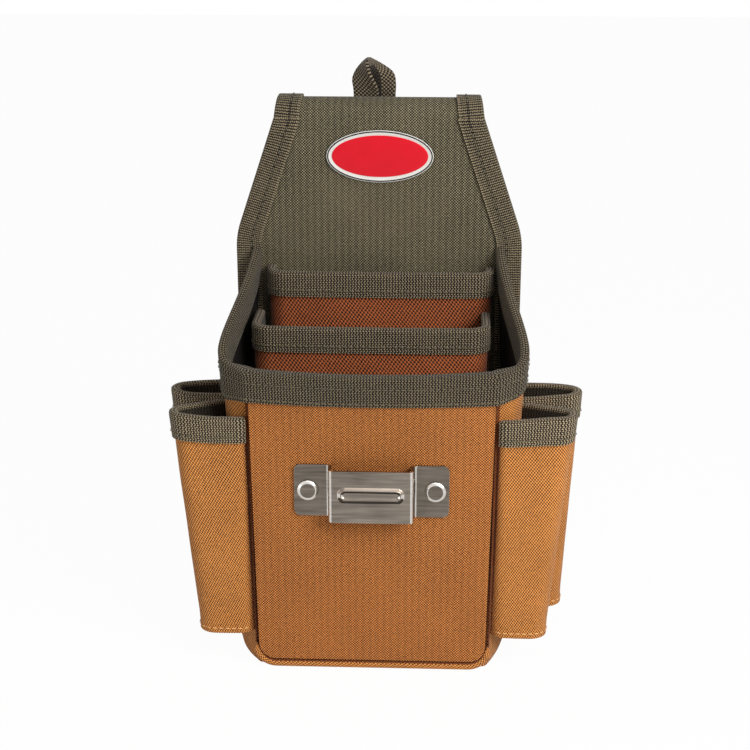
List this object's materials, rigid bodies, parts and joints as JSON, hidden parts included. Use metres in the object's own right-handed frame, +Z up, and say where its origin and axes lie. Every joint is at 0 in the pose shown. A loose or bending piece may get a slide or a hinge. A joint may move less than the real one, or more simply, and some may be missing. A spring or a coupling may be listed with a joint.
{
  "type": "belt tool pouch",
  "caption": "Belt-worn cloth tool pouch with nested inner pockets, open side sleeves, a riveted tape-measure clip, a fold-over belt flap and a twisted hang loop.",
  "frame": {"origin": "centre of the base, on the surface it stands on, midway between the front and back panels", "axes": "+X to the viewer's right, the front with the clip faces -Y, +Z up"},
  "size_m": [0.2106, 0.1213, 0.2958],
  "materials": {
    "tan_ripstop": "fine ripstop weave",
    "tan_weave": "heavy plain weave",
    "olive_ripstop": "fine ripstop weave",
    "olive_webbing": "ribbed webbing tape",
    "lining": "dark coated cloth",
    "board": "stiffening sheet",
    "hook_loop": "hook and loop pile",
    "steel": "satin",
    "badge_white": "moulded gloss",
    "badge_red": "moulded gloss"
  },
  "bodies": {
    "pouch": {"front_face": "tan_ripstop", "front_board": "board", "front_lining": "lining", "base_welt": "tan_weave", "gusset": "tan_weave", "rim_binding": "olive_webbing", "front_pocket": "tan_weave", "front_pocket_binding": "olive_webbing", "rear_pocket": "tan_weave", "rear_pocket_binding": "olive_webbing", "right_front_sleeve": "tan_weave", "right_front_sleeve_binding": "olive_webbing", "right_rear_sleeve": "tan_weave", "right_rear_sleeve_binding": "olive_webbing", "left_front_sleeve": "tan_weave", "left_front_sleeve_binding": "olive_webbing", "left_rear_sleeve": "tan_weave", "left_rear_sleeve_binding": "olive_webbing", "back_face": "olive_ripstop", "back_board": "board", "back_lining": "lining", "back_binding": "olive_webbing", "hook_pad": "hook_loop", "badge_rim_ring": "badge_white", "badge_field": "badge_red", "tape_clip": "steel", "clip_rivets": "steel", "rivet_washers": "steel"},
    "belt_flap": {"flap_face": "olive_ripstop", "flap_board": "board", "flap_lining": "lining", "flap_binding": "olive_webbing", "loop_pad": "hook_loop", "loop_legs": "olive_webbing"},
    "hang_loop_strap": {"hang_loop": "olive_webbing"}
  },
  "joints": [
    {"name": "flap_fold", "type": "hinge", "parent": "pouch", "child": "belt_flap", "pos_m": [0, 0.0505, 0.2794], "axis": [1, 0, 0], "range_deg": [0, 120]},
    {"name": "hang_loop_bend", "type": "hinge", "parent": "belt_flap", "child": "hang_loop_strap", "pos_m": [-0.0028, 0.0619, 0.2685], "axis": [1, 0, 0], "range_deg": [-90, 0], "stiffness_Nm_per_rad": 0.01}
  ]
}
